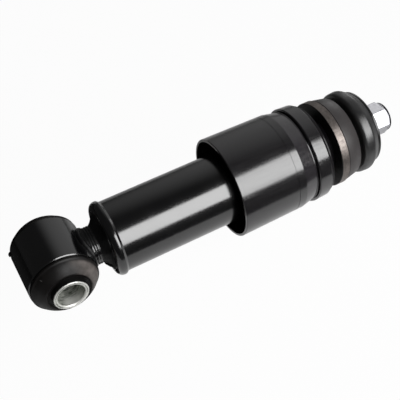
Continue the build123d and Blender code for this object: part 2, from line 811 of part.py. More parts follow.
# Upper cushion: a rubber ring above the cab bracket, with a rounded shoulder under the top washer
with BuildPart() as upper_cushion:
    with BuildSketch(Plane.XY) as cushion_profile:
        skirt_end = bracket_top + upper_cushion_skirt
        shoulder_middle = (skirt_end + top_washer_start) / 2 + upper_cushion_shoulder_shift
        with BuildLine():
            Polyline(
                (cushion_joint, spacer_radius + push_fit),
                (cushion_joint, bracket_spigot_radius),
                (bracket_top, bracket_spigot_radius),
                (bracket_top, upper_cushion_seat_radius),
                (skirt_end, upper_cushion_radius),
            )
            ThreePointArc(
                (skirt_end, upper_cushion_radius),
                (shoulder_middle, upper_cushion_shoulder_radius),
                (top_washer_start, upper_cushion_edge_radius),
            )
            Polyline(
                (top_washer_start, upper_cushion_edge_radius),
                (top_washer_start, top_washer_flat_radius),
                (top_washer_hub_start, top_washer_hub_radius),
                (top_washer_hub_start, spacer_radius + push_fit),
                (cushion_joint, spacer_radius + push_fit),
            )
        make_face()
        fillet(corner(cushion_profile, bracket_top, upper_cushion_seat_radius), upper_cushion_seat_round)
    revolve(axis=Axis.X)
upper_cushion.part.label = "upper_cushion"
export_step(upper_cushion.part, "parts/upper_cushion.step")

# Top washer: a pressed, dished steel washer whose raised middle meets the nut
with BuildPart() as top_washer:
    with BuildSketch(Plane.XY):
        with BuildLine():
            Polyline(
                (top_washer_hub_start, stud_hole_radius),
                (top_washer_hub_start, top_washer_hub_radius),
                (top_washer_start, top_washer_flat_radius),
                (top_washer_start, top_washer_radius),
                (top_washer_start + top_washer_thickness, top_washer_radius),
                (top_washer_start + top_washer_thickness, top_washer_flat_radius + top_washer_bend),
                (nut_start, top_washer_hub_radius + top_washer_bend),
                (nut_start, stud_hole_radius),
                close=True,
            )
        make_face()
    revolve(axis=Axis.X)
    rim_edges = top_washer.edges().filter_by(GeomType.CIRCLE).group_by(SortBy.RADIUS)[-1]
    fillet(rim_edges, top_washer_edge)
top_washer.part.label = "top_washer"
export_step(top_washer.part, "parts/top_washer.step")

# Lock nut: a hexagon with chamfered corners and a round collar that holds a plastic insert
nut_half_side = radians(180 / 6)
nut_corner_radius = nut_flats / 2 / cos(nut_half_side)
nut_insert_start = nut_hex_end + (nut_collar_height - nut_insert_height) / 2
nut_cone_rise = (nut_corner_radius - nut_flats / 2) * tan(nut_half_side)
nut_far_rise = (nut_corner_radius - nut_collar_radius) * tan(nut_half_side)
with BuildPart() as lock_nut:
    with BuildSketch(Plane.YZ.offset(nut_start)):
        RegularPolygon(nut_flats / 2, 6, major_radius=False, rotation=nut_turn)
    extrude(amount=nut_hex_height)
    with BuildSketch(Plane.XY):
        with BuildLine():
            Polyline(
                (nut_start, 0),
                (nut_start, nut_flats / 2),
                (nut_start + nut_cone_rise, nut_corner_radius),
                (nut_hex_end - nut_far_rise, nut_corner_radius),
                (nut_hex_end, nut_collar_radius),
                (nut_hex_end, 0),
                close=True,
            )
        make_face()
    revolve(axis=Axis.X, mode=Mode.INTERSECT)
    with BuildSketch(Plane.XY) as collar_profile:
        with BuildLine():
            Polyline(
                (nut_hex_end, 0),
                (nut_hex_end, nut_collar_radius),
                (nut_end, nut_collar_radius),
                (nut_end, 0),
                close=True,
            )
        make_face()
        fillet(corner(collar_profile, nut_end, nut_collar_radius), nut_collar_round)
    revolve(axis=Axis.X)
    with BuildSketch(Plane.YZ.offset(nut_start)):
        Circle(stud_radius + thread_fit)
    extrude(amount=nut_end - nut_start, mode=Mode.SUBTRACT)
    with BuildSketch(Plane.YZ.offset(nut_insert_start)):
        Circle(stud_radius + nut_insert_wall)
    extrude(amount=nut_insert_height, mode=Mode.SUBTRACT)
lock_nut.part.label = "lock_nut"
export_step(lock_nut.part, "parts/lock_nut.step")

# Nut insert: the plastic ring that grips the stud's thread
with BuildPart() as nut_insert:
    with BuildSketch(Plane.YZ.offset(nut_insert_start)):
        Circle(stud_radius + nut_insert_wall - push_fit)
        Circle(stud_radius + thread_fit, mode=Mode.SUBTRACT)
    extrude(amount=nut_insert_height)
nut_insert.part.label = "nut_insert"
export_step(nut_insert.part, "parts/nut_insert.step")
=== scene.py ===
import math

import bpy
from mathutils import Matrix, Vector, noise


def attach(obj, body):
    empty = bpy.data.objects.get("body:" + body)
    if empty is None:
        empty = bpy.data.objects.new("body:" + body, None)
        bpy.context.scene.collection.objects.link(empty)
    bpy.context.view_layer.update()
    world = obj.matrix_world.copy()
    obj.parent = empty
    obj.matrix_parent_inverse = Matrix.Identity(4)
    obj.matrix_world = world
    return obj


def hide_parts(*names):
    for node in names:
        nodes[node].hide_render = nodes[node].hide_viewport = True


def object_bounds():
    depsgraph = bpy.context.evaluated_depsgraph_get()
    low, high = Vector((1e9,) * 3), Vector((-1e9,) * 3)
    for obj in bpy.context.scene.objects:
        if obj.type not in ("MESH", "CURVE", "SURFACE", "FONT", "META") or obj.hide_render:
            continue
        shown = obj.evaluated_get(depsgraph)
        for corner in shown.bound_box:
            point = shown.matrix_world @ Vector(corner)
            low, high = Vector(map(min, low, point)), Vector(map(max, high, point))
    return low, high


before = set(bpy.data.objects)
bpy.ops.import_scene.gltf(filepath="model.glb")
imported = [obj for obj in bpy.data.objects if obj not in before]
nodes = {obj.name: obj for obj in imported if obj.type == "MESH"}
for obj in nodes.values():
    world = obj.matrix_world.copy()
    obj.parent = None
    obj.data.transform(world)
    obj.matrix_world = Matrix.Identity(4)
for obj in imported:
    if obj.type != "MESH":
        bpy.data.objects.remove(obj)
cad_low, cad_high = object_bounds()

# Studio: the damper hangs over white paper in a dim room with a pale wall behind on the right. One
# soft box in front gives every round surface its broad highlight, and a black card in front makes
# the dark band below it. A card behind on the left keeps the eye ring's far side dark.
MM = 0.001


def srgb(hex_colour):
    channels = [int(hex_colour[i:i + 2], 16) / 255 for i in (1, 3, 5)]
    linear = [c / 12.92 if c <= 0.04045 else ((c + 0.055) / 1.055) ** 2.4 for c in channels]
    return (*linear, 1.0)


def add_node(tree, kind, settings=None, links=()):
    """Adds a node. Settings are values of its properties or sockets, and links are (socket, source)
    pairs."""
    node = tree.nodes.new(kind)
    for name, value in (settings or {}).items():
        if isinstance(name, int) or name in node.inputs:
            node.inputs[name].default_value = value
        else:
            setattr(node, name, value)
    for name, source in links:
        tree.links.new(source, node.inputs[name])
    return node


def direction(azimuth, elevation):
    """The unit vector towards an azimuth and an elevation in degrees."""
    azimuth, elevation = math.radians(azimuth), math.radians(elevation)
    return Vector((math.cos(azimuth) * math.cos(elevation), math.sin(azimuth) * math.cos(elevation),
                   math.sin(elevation)))


# The camera's place and axes, and its lens in millimetres, are fitted to the damper's outlines
camera_place = Vector((-38.80, -339.01, 397.36)) * MM
camera_right = Vector((0.87893, -0.47081, -0.07624))
camera_back = Vector((-0.26986, -0.62271, 0.73444))
camera_up = camera_back.cross(camera_right)
bpy.ops.object.camera_add()
camera = bpy.context.object
camera.matrix_world = Matrix.Translation(camera_place) @ Matrix(
    (camera_right, camera_up, camera_back)).transposed().to_4x4()
camera.data.sensor_width = 36.0
camera.data.lens = 70.74
bpy.context.scene.camera = camera
bpy.context.scene.view_settings.view_transform = "Standard"

# The paper lies low enough for the barrel to swing down in its eye. The camera sees it nearly pure
# white, with a trace of the damper's shadow.
floor_drop, floor_size, middle_x, lifted_share = 60 * MM, 8.0, 0.12, 0.96
bpy.ops.mesh.primitive_plane_add(size=floor_size, location=(middle_x, 0, cad_low.z - floor_drop))
floor = bpy.context.object
floor.name = "floor"
paper = bpy.data.materials.new("white_paper")
paper.use_nodes = True
tree = paper.node_tree
tree.nodes.clear()
light_path = add_node(tree, "ShaderNodeLightPath")
matte = add_node(tree, "ShaderNodeBsdfDiffuse", {"Color": srgb("#f6f6f6")})
white = add_node(tree, "ShaderNodeEmission", {"Color": srgb("#ffffff"), "Strength": 1.0})
lifted = add_node(tree, "ShaderNodeMixShader", {"Fac": lifted_share},
                  [(1, matte.outputs[0]), (2, white.outputs[0])])
seen = add_node(tree, "ShaderNodeMixShader", None, [
    ("Fac", light_path.outputs["Is Camera Ray"]), (1, matte.outputs[0]), (2, lifted.outputs[0])])
add_node(tree, "ShaderNodeOutputMaterial", None, [("Surface", seen.outputs[0])])
floor.data.materials.append(paper)

# The black cards lie level with the damper's lowest point, with their edges given in metres
black = bpy.data.materials.new("black_velvet")
black.use_nodes = True
tree = black.node_tree
tree.nodes.clear()
matte = add_node(tree, "ShaderNodeBsdfDiffuse", {"Color": srgb("#3c3c3c")})
add_node(tree, "ShaderNodeOutputMaterial", None, [("Surface", matte.outputs[0])])
for name, left, right, near, far in (("front_card", -1.0, 1.6, -1.6, -0.097),
                                     ("left_card", -1.6, 0.03, -0.01, 1.6)):
    bpy.ops.mesh.primitive_plane_add(size=1, location=(0, 0, 0))
    card = bpy.context.object
    card.name = name
    for vertex in card.data.vertices:
        vertex.co = (right if vertex.co.x > 0 else left, far if vertex.co.y > 0 else near, cad_low.z)
    card.visible_camera = False
    card.visible_shadow = False
    card.data.materials.append(black)

# The room: dim all round, brighter towards the wall, and white where the camera sees past the paper
wall_side, wall_edge, wall_middle = direction(32, 24), 0.55, 0.97
dim_light, wall_light = 0.04, 0.42
room = bpy.data.worlds.new("room")
room.use_nodes = True
tree = room.node_tree
tree.nodes.clear()
light_path = add_node(tree, "ShaderNodeLightPath")
view = add_node(tree, "ShaderNodeTexCoord").outputs["Generated"]
towards_wall = add_node(tree, "ShaderNodeVectorMath", {"operation": "DOT_PRODUCT", 1: wall_side}, [(0, view)])
wall_glow = add_node(tree, "ShaderNodeMapRange", {
    "interpolation_type": "SMOOTHSTEP", "From Min": wall_edge, "From Max": wall_middle,
    "To Min": dim_light, "To Max": wall_light}, [("Value", towards_wall.outputs["Value"])])
walls = add_node(tree, "ShaderNodeBackground", {"Color": srgb("#ffffff")},
                 [("Strength", wall_glow.outputs[0])])
white = add_node(tree, "ShaderNodeBackground", {"Color": srgb("#ffffff"), "Strength": 1.0})
seen = add_node(tree, "ShaderNodeMixShader", None, [
    ("Fac", light_path.outputs["Is Camera Ray"]), (1, walls.outputs[0]), (2, white.outputs[0])])
add_node(tree, "ShaderNodeOutputWorld", None, [("Surface", seen.outputs[0])])
bpy.context.scene.world = room


def soft_light(name, aim, azimuth, elevation, distance, width, height, energy):
    """A flat lamp that faces a point, seen from it at the given azimuth and elevation. Its distance
    and sides are in metres, its energy is in watts."""
    back = direction(azimuth, elevation)
    side = Vector((0, 0, 1)).cross(back).normalized()
    bpy.ops.object.light_add(type="AREA")
    lamp = bpy.context.object
    lamp.name = name
    lamp.matrix_world = Matrix.Translation(aim + back * distance) @ Matrix(
        (side, back.cross(side), back)).transposed().to_4x4()
    lamp.data.shape = "RECTANGLE"
    lamp.data.size = width
    lamp.data.size_y = height
    lamp.data.energy = energy
    lamp.visible_camera = False


# The soft box lights the whole damper, and a small lamp above the nut its upper flats
soft_light("soft_box", Vector((130, 0, 0)) * MM, azimuth=-68, elevation=32, distance=0.9,
           width=0.74, height=0.66, energy=9.2)
soft_light("nut_card", Vector((253, 0, 0)) * MM, azimuth=57, elevation=27, distance=0.12,
           width=0.06, height=0.06, energy=0.014)


# Eye ring, neck, base cup and barrel: mild steel tube and pressings, welded together and dipped or
# sprayed in black enamel. It is glossy, with the faint waviness it dries to and a thin film of
# handling dust that dulls it in patches.
def surface(name, settings):
    """A new material with one principled shader, and its object coordinates in metres."""
    material = bpy.data.materials.new(name)
    material.use_nodes = True
    tree = material.node_tree
    tree.nodes.clear()
    shader = add_node(tree, "ShaderNodeBsdfPrincipled", settings)
    add_node(tree, "ShaderNodeOutputMaterial", None, [("Surface", shader.outputs[0])])
    place = add_node(tree, "ShaderNodeTexCoord").outputs["Object"]
    return material, tree, shader, place


def dress(material, *names):
    for name in names:
        nodes[name].data.materials.clear()
        nodes[name].data.materials.append(material)


def enamel_surface(name, wave_length, wave_depth):
    """Black enamel with waves of the given length and depth, in millimetres."""
    material, tree, shader, place = surface(name, {
        "IOR": 1.55, "Specular IOR Level": 0.62, "Coat Weight": 0.8, "Coat Roughness": 0.16, "Coat IOR": 1.6})
    dust_size = 14 * MM
    waves = add_node(tree, "ShaderNodeTexNoise", {"Scale": 1 / (wave_length * MM), "Detail": 1.0},
                     [("Vector", place)])
    dust = add_node(tree, "ShaderNodeTexNoise", {"Scale": 1 / dust_size, "Detail": 5.0}, [("Vector", place)])
    dulling = add_node(tree, "ShaderNodeMapRange", {
        "From Min": 0.35, "From Max": 0.7, "To Min": 0.15, "To Max": 0.22}, [("Value", dust.outputs[0])])
    tint = add_node(tree, "ShaderNodeMix", {"data_type": "RGBA", 6: srgb("#060607"), 7: srgb("#0b0b0c")},
                    [(0, dust.outputs[0])])
    ripple = add_node(tree, "ShaderNodeBump", {"Strength": 1.0, "Distance": wave_depth * MM},
                      [("Height", waves.outputs[0])])
    tree.links.new(tint.outputs[2], shader.inputs["Base Color"])
    tree.links.new(dulling.outputs[0], shader.inputs["Roughness"])
    tree.links.new(ripple.outputs[0], shader.inputs["Normal"])
    tree.links.new(ripple.outputs[0], shader.inputs["Coat Normal"])
    return material


dress(enamel_surface("black_enamel", 1.3, 0.002), "eye_ring", "base_cup", "reserve_tube")

# Over the welds the enamel is lumpy, and dull from the scale under it. Only the front of the neck's
# ripples has come out clean and glossy.
weld_enamel = enamel_surface("enamel_over_weld", 3.0, 0.3)
tree = weld_enamel.node_tree
shader = tree.nodes["Principled BSDF"]
place = tree.nodes["Texture Coordinate"].outputs["Object"]
clean_side, scale_end, clean_start = direction(-90, 15), 11.3 * MM, 11.9 * MM
ripples_middle, half_ripples = 26.9 * MM, 2.5 * MM
towards = add_node(tree, "ShaderNodeVectorMath", {"operation": "DOT_PRODUCT", 1: clean_side}, [(0, place)])
clean = add_node(tree, "ShaderNodeMapRange", {"From Min": scale_end, "From Max": clean_start},
                 [("Value", towards.outputs["Value"])])
split = add_node(tree, "ShaderNodeSeparateXYZ", None, [(0, place)])
rippled = add_node(tree, "ShaderNodeMath", {"operation": "COMPARE", 1: ripples_middle, 2: half_ripples},
                   [(0, split.outputs["X"])])
glossy = add_node(tree, "ShaderNodeMath", {"operation": "MULTIPLY"},
                  [(0, clean.outputs[0]), (1, rippled.outputs[0])])
for socket, dull_value, clean_value in (("Roughness", 0.5, 0.17), ("Specular IOR Level", 0.3, 0.62),
                                        ("Coat Weight", 0.0, 0.8)):
    level = add_node(tree, "ShaderNodeMapRange", {"To Min": dull_value, "To Max": clean_value},
                     [("Value", glossy.outputs[0])])
    tree.links.new(level.outputs[0], shader.inputs[socket])
dress(weld_enamel, "neck_stub")


# Inner sleeve: a steel tube cut and faced on a lathe, then zinc plated and passivated. The plating
# is pale grey with a dull greenish mottle. It is brightest on the cut ends. Low in the bore, near its
# end, a pale patch is painted in as a painted reflection. Its outside is coloured nearly black, not metal.
def off_axis(tree, place, across):
    """The distance from the axis that across leaves out, such as Y in (1, 0, 1)."""
    flat = add_node(tree, "ShaderNodeMapping", {"Scale": across}, [("Vector", place)])
    length = add_node(tree, "ShaderNodeVectorMath", {"operation": "LENGTH"}, [(0, flat.outputs[0])])
    return length.outputs["Value"]


# The scratches are wider than real ones, so that they show
zinc_sleeve, tree, shader, place = surface("zinc_plated_sleeve", {})
mottle_size, scratch_width, dark_radius = 2.2 * MM, 0.25 * MM, 11.85 * MM
pool_start, pool_full, face_start, face_end = -22 * MM, -28 * MM, 30.4 * MM, 30.6 * MM
stretch = add_node(tree, "ShaderNodeMapping", {"Scale": (0.6, 2.0, 0.6)}, [("Vector", place)])
mottle = add_node(tree, "ShaderNodeTexNoise", {"Scale": 1 / mottle_size, "Detail": 6.0, "Roughness": 0.65},
                  [("Vector", stretch.outputs[0])])
grain = add_node(tree, "ShaderNodeTexNoise", {"Scale": 1 / scratch_width, "Detail": 2.0}, [("Vector", place)])
spread = add_node(tree, "ShaderNodeMapRange", {"From Min": 0.37, "From Max": 0.63},
                  [("Value", mottle.outputs[0])])
plated = add_node(tree, "ShaderNodeMix", {"data_type": "RGBA", 6: srgb("#6a6e66"), 7: srgb("#d2d4cc")},
                  [(0, spread.outputs[0])])
split = add_node(tree, "ShaderNodeSeparateXYZ", None, [(0, place)])
# The pale patch low in the bore near its end is a painted reflection
depth = add_node(tree, "ShaderNodeMapRange", {
    "interpolation_type": "SMOOTHSTEP", "From Min": pool_start, "From Max": pool_full},
    [("Value", split.outputs["Y"])])
bore_radius, pool_side, pool_edge, pool_middle = 9.25 * MM, direction(0, -80), 0.45, 0.95
downward = add_node(tree, "ShaderNodeVectorMath", {"operation": "DOT_PRODUCT", 1: pool_side / bore_radius},
                    [(0, place)])
side = add_node(tree, "ShaderNodeMapRange", {
    "interpolation_type": "SMOOTHSTEP", "From Min": pool_edge, "From Max": pool_middle},
    [("Value", downward.outputs["Value"])])
painted_pool = add_node(tree, "ShaderNodeMath", {"operation": "MULTIPLY"},
                  [(0, depth.outputs[0]), (1, side.outputs[0])])
outward = add_node(tree, "ShaderNodeMath", {"operation": "ABSOLUTE"}, [(0, split.outputs["Y"])])
radius = off_axis(tree, place, (1, 0, 1))
end_face = add_node(tree, "ShaderNodeMapRange", {
    "From Min": face_start, "From Max": face_end, "To Max": 0.75}, [("Value", outward.outputs[0])])
mark_radius, mark_width = 10.6 * MM, 0.35 * MM
mark = add_node(tree, "ShaderNodeMath", {"operation": "COMPARE", 1: mark_radius, 2: mark_width},
                [(0, radius)])
faced = add_node(tree, "ShaderNodeMath", {"operation": "SUBTRACT", "use_clamp": True},
                 [(0, end_face.outputs[0]), (1, mark.outputs[0])])
bright = add_node(tree, "ShaderNodeMath", {"operation": "MAXIMUM"},
                  [(0, painted_pool.outputs[0]), (1, faced.outputs[0])])
tint = add_node(tree, "ShaderNodeMix", {"data_type": "RGBA", 7: srgb("#efefea")},
                [(0, bright.outputs[0]), (6, plated.outputs[2])])
# The outside of the sleeve is coloured nearly black and not metal
dark_outside = add_node(tree, "ShaderNodeMapRange", {"From Min": dark_radius, "From Max": dark_radius + 0.1 * MM},
                [("Value", radius)])
darkened_outside = add_node(tree, "ShaderNodeMix", {"data_type": "RGBA", 7: srgb("#0b0b0a")},
                   [(0, dark_outside.outputs[0]), (6, tint.outputs[2])])
plating = add_node(tree, "ShaderNodeMapRange", {"To Min": 0.55, "To Max": 0.0}, [("Value", dark_outside.outputs[0])])
dulling = add_node(tree, "ShaderNodeMapRange", {
    "From Min": 0.3, "From Max": 0.7, "To Min": 0.35, "To Max": 0.6}, [("Value", mottle.outputs[0])])
pits = add_node(tree, "ShaderNodeBump", {"Strength": 0.5, "Distance": 0.04 * MM},
                [("Height", grain.outputs[0])])
tree.links.new(darkened_outside.outputs[2], shader.inputs["Base Color"])
tree.links.new(plating.outputs[0], shader.inputs["Metallic"])
tree.links.new(dulling.outputs[0], shader.inputs["Roughness"])
tree.links.new(pits.outputs[0], shader.inputs["Normal"])
dress(zinc_sleeve, "eye_inner_sleeve")


# Rubber of the eye: one moulded bush, pressed into the ring and bonded to the sleeve. Squeezed out
# of both ends it makes a lip over the ring, a blunt cone, and a sunk step round the sleeve.
def turned(name, outline, axis, round_over=0.0, sharp=35):
    """A ring turned round the damper's axis ("X") or the eye's ("Y") from a closed outline of
    (place along the axis, radius) pairs in millimetres, with its edges rounded over."""
    turn = Matrix.Rotation(math.pi / 2, 3, "Y") if axis == "X" else Matrix.Rotation(-math.pi / 2, 3, "X")
    along = Vector((1, 0, 0)) if axis == "X" else Vector((0, 1, 0))
    bpy.ops.object.select_all(action="DESELECT")
    start, first_radius = outline[0]
    bpy.ops.mesh.primitive_circle_add(vertices=144, radius=first_radius * MM, location=along * start * MM,
                                      rotation=turn.to_euler())
    ring = bpy.context.object
    ring.name = name
    bpy.ops.object.transform_apply(location=True, rotation=True, scale=True)
    bpy.ops.object.mode_set(mode="EDIT")
    bpy.ops.mesh.select_mode(type="EDGE")
    bpy.ops.mesh.select_all(action="SELECT")
    for (here, radius), (there, next_radius) in zip(outline, outline[1:]):
        step = along * (there - here) * MM
        scale = next_radius / radius
        bpy.ops.mesh.extrude_edges_move(TRANSFORM_OT_translate={"value": step, "orient_type": "GLOBAL"})
        bpy.ops.transform.resize(value=[1 if c else scale for c in along],
                                 center_override=along * there * MM)
    bpy.ops.mesh.select_all(action="DESELECT")
    bpy.ops.mesh.select_non_manifold()
    bpy.ops.mesh.bridge_edge_loops()
    bpy.ops.mesh.select_all(action="SELECT")
    bpy.ops.mesh.normals_make_consistent(inside=False)
    bpy.ops.object.mode_set(mode="OBJECT")
    if round_over:
        bevel = ring.modifiers.new("edges", "BEVEL")
        bevel.width = round_over * MM
        bevel.segments = 3
        bevel.angle_limit = math.radians(sharp)
        bpy.ops.object.modifier_apply(modifier="edges")
    bpy.ops.object.shade_smooth_by_angle(angle=math.radians(sharp))
    return ring


def arc(start, middle, end, steps):
    """Points of a smooth curve through three outline points."""
    points = []
    for step in range(steps + 1):
        t = step / steps
        weights = ((1 - t) * (1 - 2 * t), 4 * t * (1 - t), t * (2 * t - 1))
        points.append(tuple(sum(w * p[k] for w, p in zip(weights, (start, middle, end))) for k in (0, 1)))
    return points


half_bush = [(26.6, 12.2), (26.6, 14.1), (27.2, 14.6), (27.8, 15.0), (28.0, 15.5), (27.8, 16.0)]
half_bush += arc((27.5, 16.4), (24.4, 19.8), (21.5, 22.0), 8)
half_bush += [(20.95, 22.3), (20.7, 22.75), (20.3, 23.1), (19.4, 23.15), (18.7, 22.9), (18.3, 22.4),
              (18.3, 20.1)]
far_half = [(-along, out) for along, out in reversed(half_bush)]
bush = turned("eye_bush", half_bush + far_half, "Y", sharp=60)
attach(bush, "barrel")
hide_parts("eye_rubber_bush")


def rubber_surface(name, dark, light, bloom_size, roughness, sheen):
    """Moulded rubber: a fine open grain, drawn coarse enough to show, and a bloom that lightens and
    dulls it in soft patches."""
    material, tree, shader, place = surface(name, {"IOR": 1.52, "Specular IOR Level": sheen})
    bloom = add_node(tree, "ShaderNodeTexNoise", {"Scale": 1 / bloom_size, "Detail": 4.0, "Roughness": 0.6},
                     [("Vector", place)])
    grain_size = 0.35 * MM
    grain = add_node(tree, "ShaderNodeTexNoise", {"Scale": 1 / grain_size, "Detail": 3.0},
                     [("Vector", place)])
    tint = add_node(tree, "ShaderNodeMix", {"data_type": "RGBA", 6: srgb(dark), 7: srgb(light)},
                    [(0, bloom.outputs[0])])
    dulling = add_node(tree, "ShaderNodeMapRange", {
        "From Min": 0.3, "From Max": 0.7, "To Min": roughness - 0.06, "To Max": roughness + 0.08},
        [("Value", bloom.outputs[0])])
    pores = add_node(tree, "ShaderNodeBump", {"Strength": 0.35, "Distance": 0.05 * MM},
                     [("Height", grain.outputs[0])])
    tree.links.new(tint.outputs[2], shader.inputs["Base Color"])
    tree.links.new(dulling.outputs[0], shader.inputs["Roughness"])
    tree.links.new(pores.outputs[0], shader.inputs["Normal"])
    return material


# The bush's rubber is nearly black. A brownish grey sheen is painted in, in ragged patches, on the
# shoulder nearest the barrel.
bush_rubber = rubber_surface("natural_rubber_bush", "#0b0a0a", "#151312", 9 * MM, 0.45, 0.25)
tree = bush_rubber.node_tree
shader = tree.nodes["Principled BSDF"]
place = tree.nodes["Texture Coordinate"].outputs["Object"]
rubber_tint = shader.inputs["Base Color"].links[0].from_socket
sheen_side, sheen_start, sheen_full = (1, 0, 0.28), 9 * MM, 19 * MM
lip_edge, cone_top, cone_foot, step_edge = 22.4 * MM, 21.2 * MM, 15.6 * MM, 14.2 * MM
towards = add_node(tree, "ShaderNodeVectorMath", {"operation": "DOT_PRODUCT", 1: sheen_side}, [(0, place)])
sheen_patch = add_node(tree, "ShaderNodeMapRange", {
    "interpolation_type": "SMOOTHSTEP", "From Min": sheen_start, "From Max": sheen_full},
    [("Value", towards.outputs["Value"])])
radius = off_axis(tree, place, (1, 0, 1))
below_lip = add_node(tree, "ShaderNodeMapRange", {
    "interpolation_type": "SMOOTHSTEP", "From Min": lip_edge, "From Max": cone_top}, [("Value", radius)])
above_step = add_node(tree, "ShaderNodeMapRange", {
    "interpolation_type": "SMOOTHSTEP", "From Min": step_edge, "From Max": cone_foot}, [("Value", radius)])
on_cone = add_node(tree, "ShaderNodeMath", {"operation": "MULTIPLY"},
                   [(0, below_lip.outputs[0]), (1, above_step.outputs[0])])
ragged_size = 6 * MM
ragged = add_node(tree, "ShaderNodeTexNoise", {"Scale": 1 / ragged_size, "Detail": 5.0}, [("Vector", place)])
sheen_on_cone = add_node(tree, "ShaderNodeMath", {"operation": "MULTIPLY"},
                [(0, sheen_patch.outputs[0]), (1, on_cone.outputs[0])])
painted_sheen = add_node(tree, "ShaderNodeMath", {"operation": "MULTIPLY"},
                [(0, sheen_on_cone.outputs[0]), (1, ragged.outputs[0])])
# The brownish grey mixed in here is a painted sheen
sheened_tint = add_node(tree, "ShaderNodeMix", {"data_type": "RGBA", 7: srgb("#857e7a")},
                 [(0, painted_sheen.outputs[0]), (6, rubber_tint)])
tree.links.new(sheened_tint.outputs[2], shader.inputs["Base Color"])
bush.data.materials.append(bush_rubber)


# Welds: a bead where the neck meets the eye ring, two runs of spatter under the flare where the neck
# meets the base cup, and a nib left on the ring's far rim. The enamel over them is lumpy.
def bead(name, points, radii, closed):
    """A lumpy bead along a row of points, both in millimetres, as a closed mesh."""
    curve = bpy.data.curves.new(name, "CURVE")
    curve.dimensions = "3D"
    curve.bevel_depth = 1.0
    curve.bevel_resolution = 3
    curve.use_fill_caps = True
    spline = curve.splines.new("POLY")
    spline.points.add(len(points) - 1)
    for point, (x, y, z), radius in zip(spline.points, points, radii):
        point.co = (x * MM, y * MM, z * MM, 1.0)
        point.radius = radius * MM
    spline.use_cyclic_u = closed
    line = bpy.data.objects.new(name, curve)
    bpy.context.collection.objects.link(line)
    bpy.ops.object.select_all(action="DESELECT")
    bpy.context.view_layer.objects.active = line
    line.select_set(True)
    bpy.ops.object.convert(target="MESH")
    piece = bpy.context.object
    bpy.ops.object.shade_smooth_by_angle(angle=math.radians(60))
    return piece


ring_radius, seam_radius, seam_lift, seam_points = 23.6, 12.9, 0.8, 96
bead_size, lump_depth, lumps_round = 1.75, 0.4, 5
seam, sizes = [], []
for step in range(seam_points):
    turn = 2 * math.pi * step / seam_points
    y, z = seam_radius * math.cos(turn), seam_radius * math.sin(turn)
    seam.append((math.sqrt(ring_radius ** 2 - z ** 2) + seam_lift, y, z))
    lump = noise.noise(Vector((math.cos(turn), math.sin(turn), 0)) * lumps_round)
    sizes.append(bead_size + lump_depth * lump)
eye_weld = bead("eye_weld", seam, sizes, True)
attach(eye_weld, "barrel")
eye_weld.data.materials.append(weld_enamel)


def on_flare(x, radius, angle):
    """A point at a place along the damper, a radius and an angle round its axis, from +Y to +Z."""
    angle = math.radians(angle)
    return (x, radius * math.cos(angle), radius * math.sin(angle))


run = [on_flare(30.2, 13.5, 224), on_flare(31.0, 14.4, 222), on_flare(32.0, 15.5, 219),
       on_flare(33.0, 17.0, 216), on_flare(33.9, 18.7, 213)]
spatter_run = bead("spatter_run", run, (0.5, 1.0, 1.15, 1.2, 0.6), False)
drop = [on_flare(34.5, 21.0, 209), on_flare(34.6, 22.0, 209), on_flare(34.8, 23.4, 209),
        on_flare(35.3, 24.6, 209)]
spatter_drop = bead("spatter_drop", drop, (0.5, 0.85, 0.9, 0.5), False)
nib_radius, nib_place = 23.9, 18.2
nib = [(nib_radius * math.cos(math.radians(angle)), nib_place, nib_radius * math.sin(math.radians(angle)))
       for angle in (164.5, 168, 171.5, 174.5)]
rim_nib = bead("rim_nib", nib, (0.4, 0.9, 0.9, 0.4), False)
for piece in (spatter_run, spatter_drop, rim_nib):
    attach(piece, "barrel")
    piece.data.materials.append(weld_enamel)

# A small raised tick across the bush's cone, coloured pale grey as a painted highlight
tick_line = [(out * math.cos(math.radians(angle)), y, out * math.sin(math.radians(angle)))
               for y, out, angle in ((-22.1, 21.5, 131.7), (-23.1, 20.6, 130.8), (-24.2, 19.55, 129.8))]
painted_tick = bead("bush_highlight_tick", tick_line, (0.15, 0.3, 0.12), False)
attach(painted_tick, "barrel")
painted_tick.data.materials.append(surface("rubber_painted_highlight", {"Base Color": srgb("#6a6866"), "Roughness": 0.7})[0])

# Dust cover and its cap: moulded black polypropylene, satin, with specks and faint flow lines drawn
# coarse enough to show. The sloping shoulder is scuffed, with a line of flash round its edge, and
# the cap's stepped end, from its ledge to its neck, is matt.
plastic, tree, shader, place = surface("moulded_polypropylene", {
    "IOR": 1.5, "Coat Roughness": 0.14, "Coat IOR": 1.55})
speck_size, flow_width = 0.5 * MM, 1.4 * MM
stretch = add_node(tree, "ShaderNodeMapping", {"Scale": (0.06, 1, 1)}, [("Vector", place)])
flow = add_node(tree, "ShaderNodeTexNoise", {"Scale": 1 / flow_width, "Detail": 3.0},
                [("Vector", stretch.outputs[0])])
specks = add_node(tree, "ShaderNodeTexNoise", {"Scale": 1 / speck_size, "Detail": 3.0}, [("Vector", place)])
dulling = add_node(tree, "ShaderNodeMapRange", {
    "From Min": 0.3, "From Max": 0.7, "To Min": 0.15, "To Max": 0.27}, [("Value", flow.outputs[0])])
moulded = add_node(tree, "ShaderNodeMix", {"data_type": "RGBA", 6: srgb("#0c0c0d"), 7: srgb("#161516")},
                   [(0, specks.outputs[0])])
split = add_node(tree, "ShaderNodeSeparateXYZ", None, [(0, place)])
shoulder_middle, half_shoulder, scuff_size = 178.3 * MM, 5.3 * MM, 3.5 * MM
on_shoulder = add_node(tree, "ShaderNodeMath", {"operation": "COMPARE", 1: shoulder_middle, 2: half_shoulder},
                       [(0, split.outputs["X"])])
shoulder = add_node(tree, "ShaderNodeMapRange", {"To Min": 0.2, "To Max": 0.8},
                    [("Value", on_shoulder.outputs[0])])
scuffs = add_node(tree, "ShaderNodeTexNoise", {"Scale": 1 / scuff_size, "Detail": 7.0, "Roughness": 0.7},
                  [("Vector", place)])
scuffed = add_node(tree, "ShaderNodeMath", {"operation": "MULTIPLY"},
                   [(0, scuffs.outputs[0]), (1, shoulder.outputs[0])])
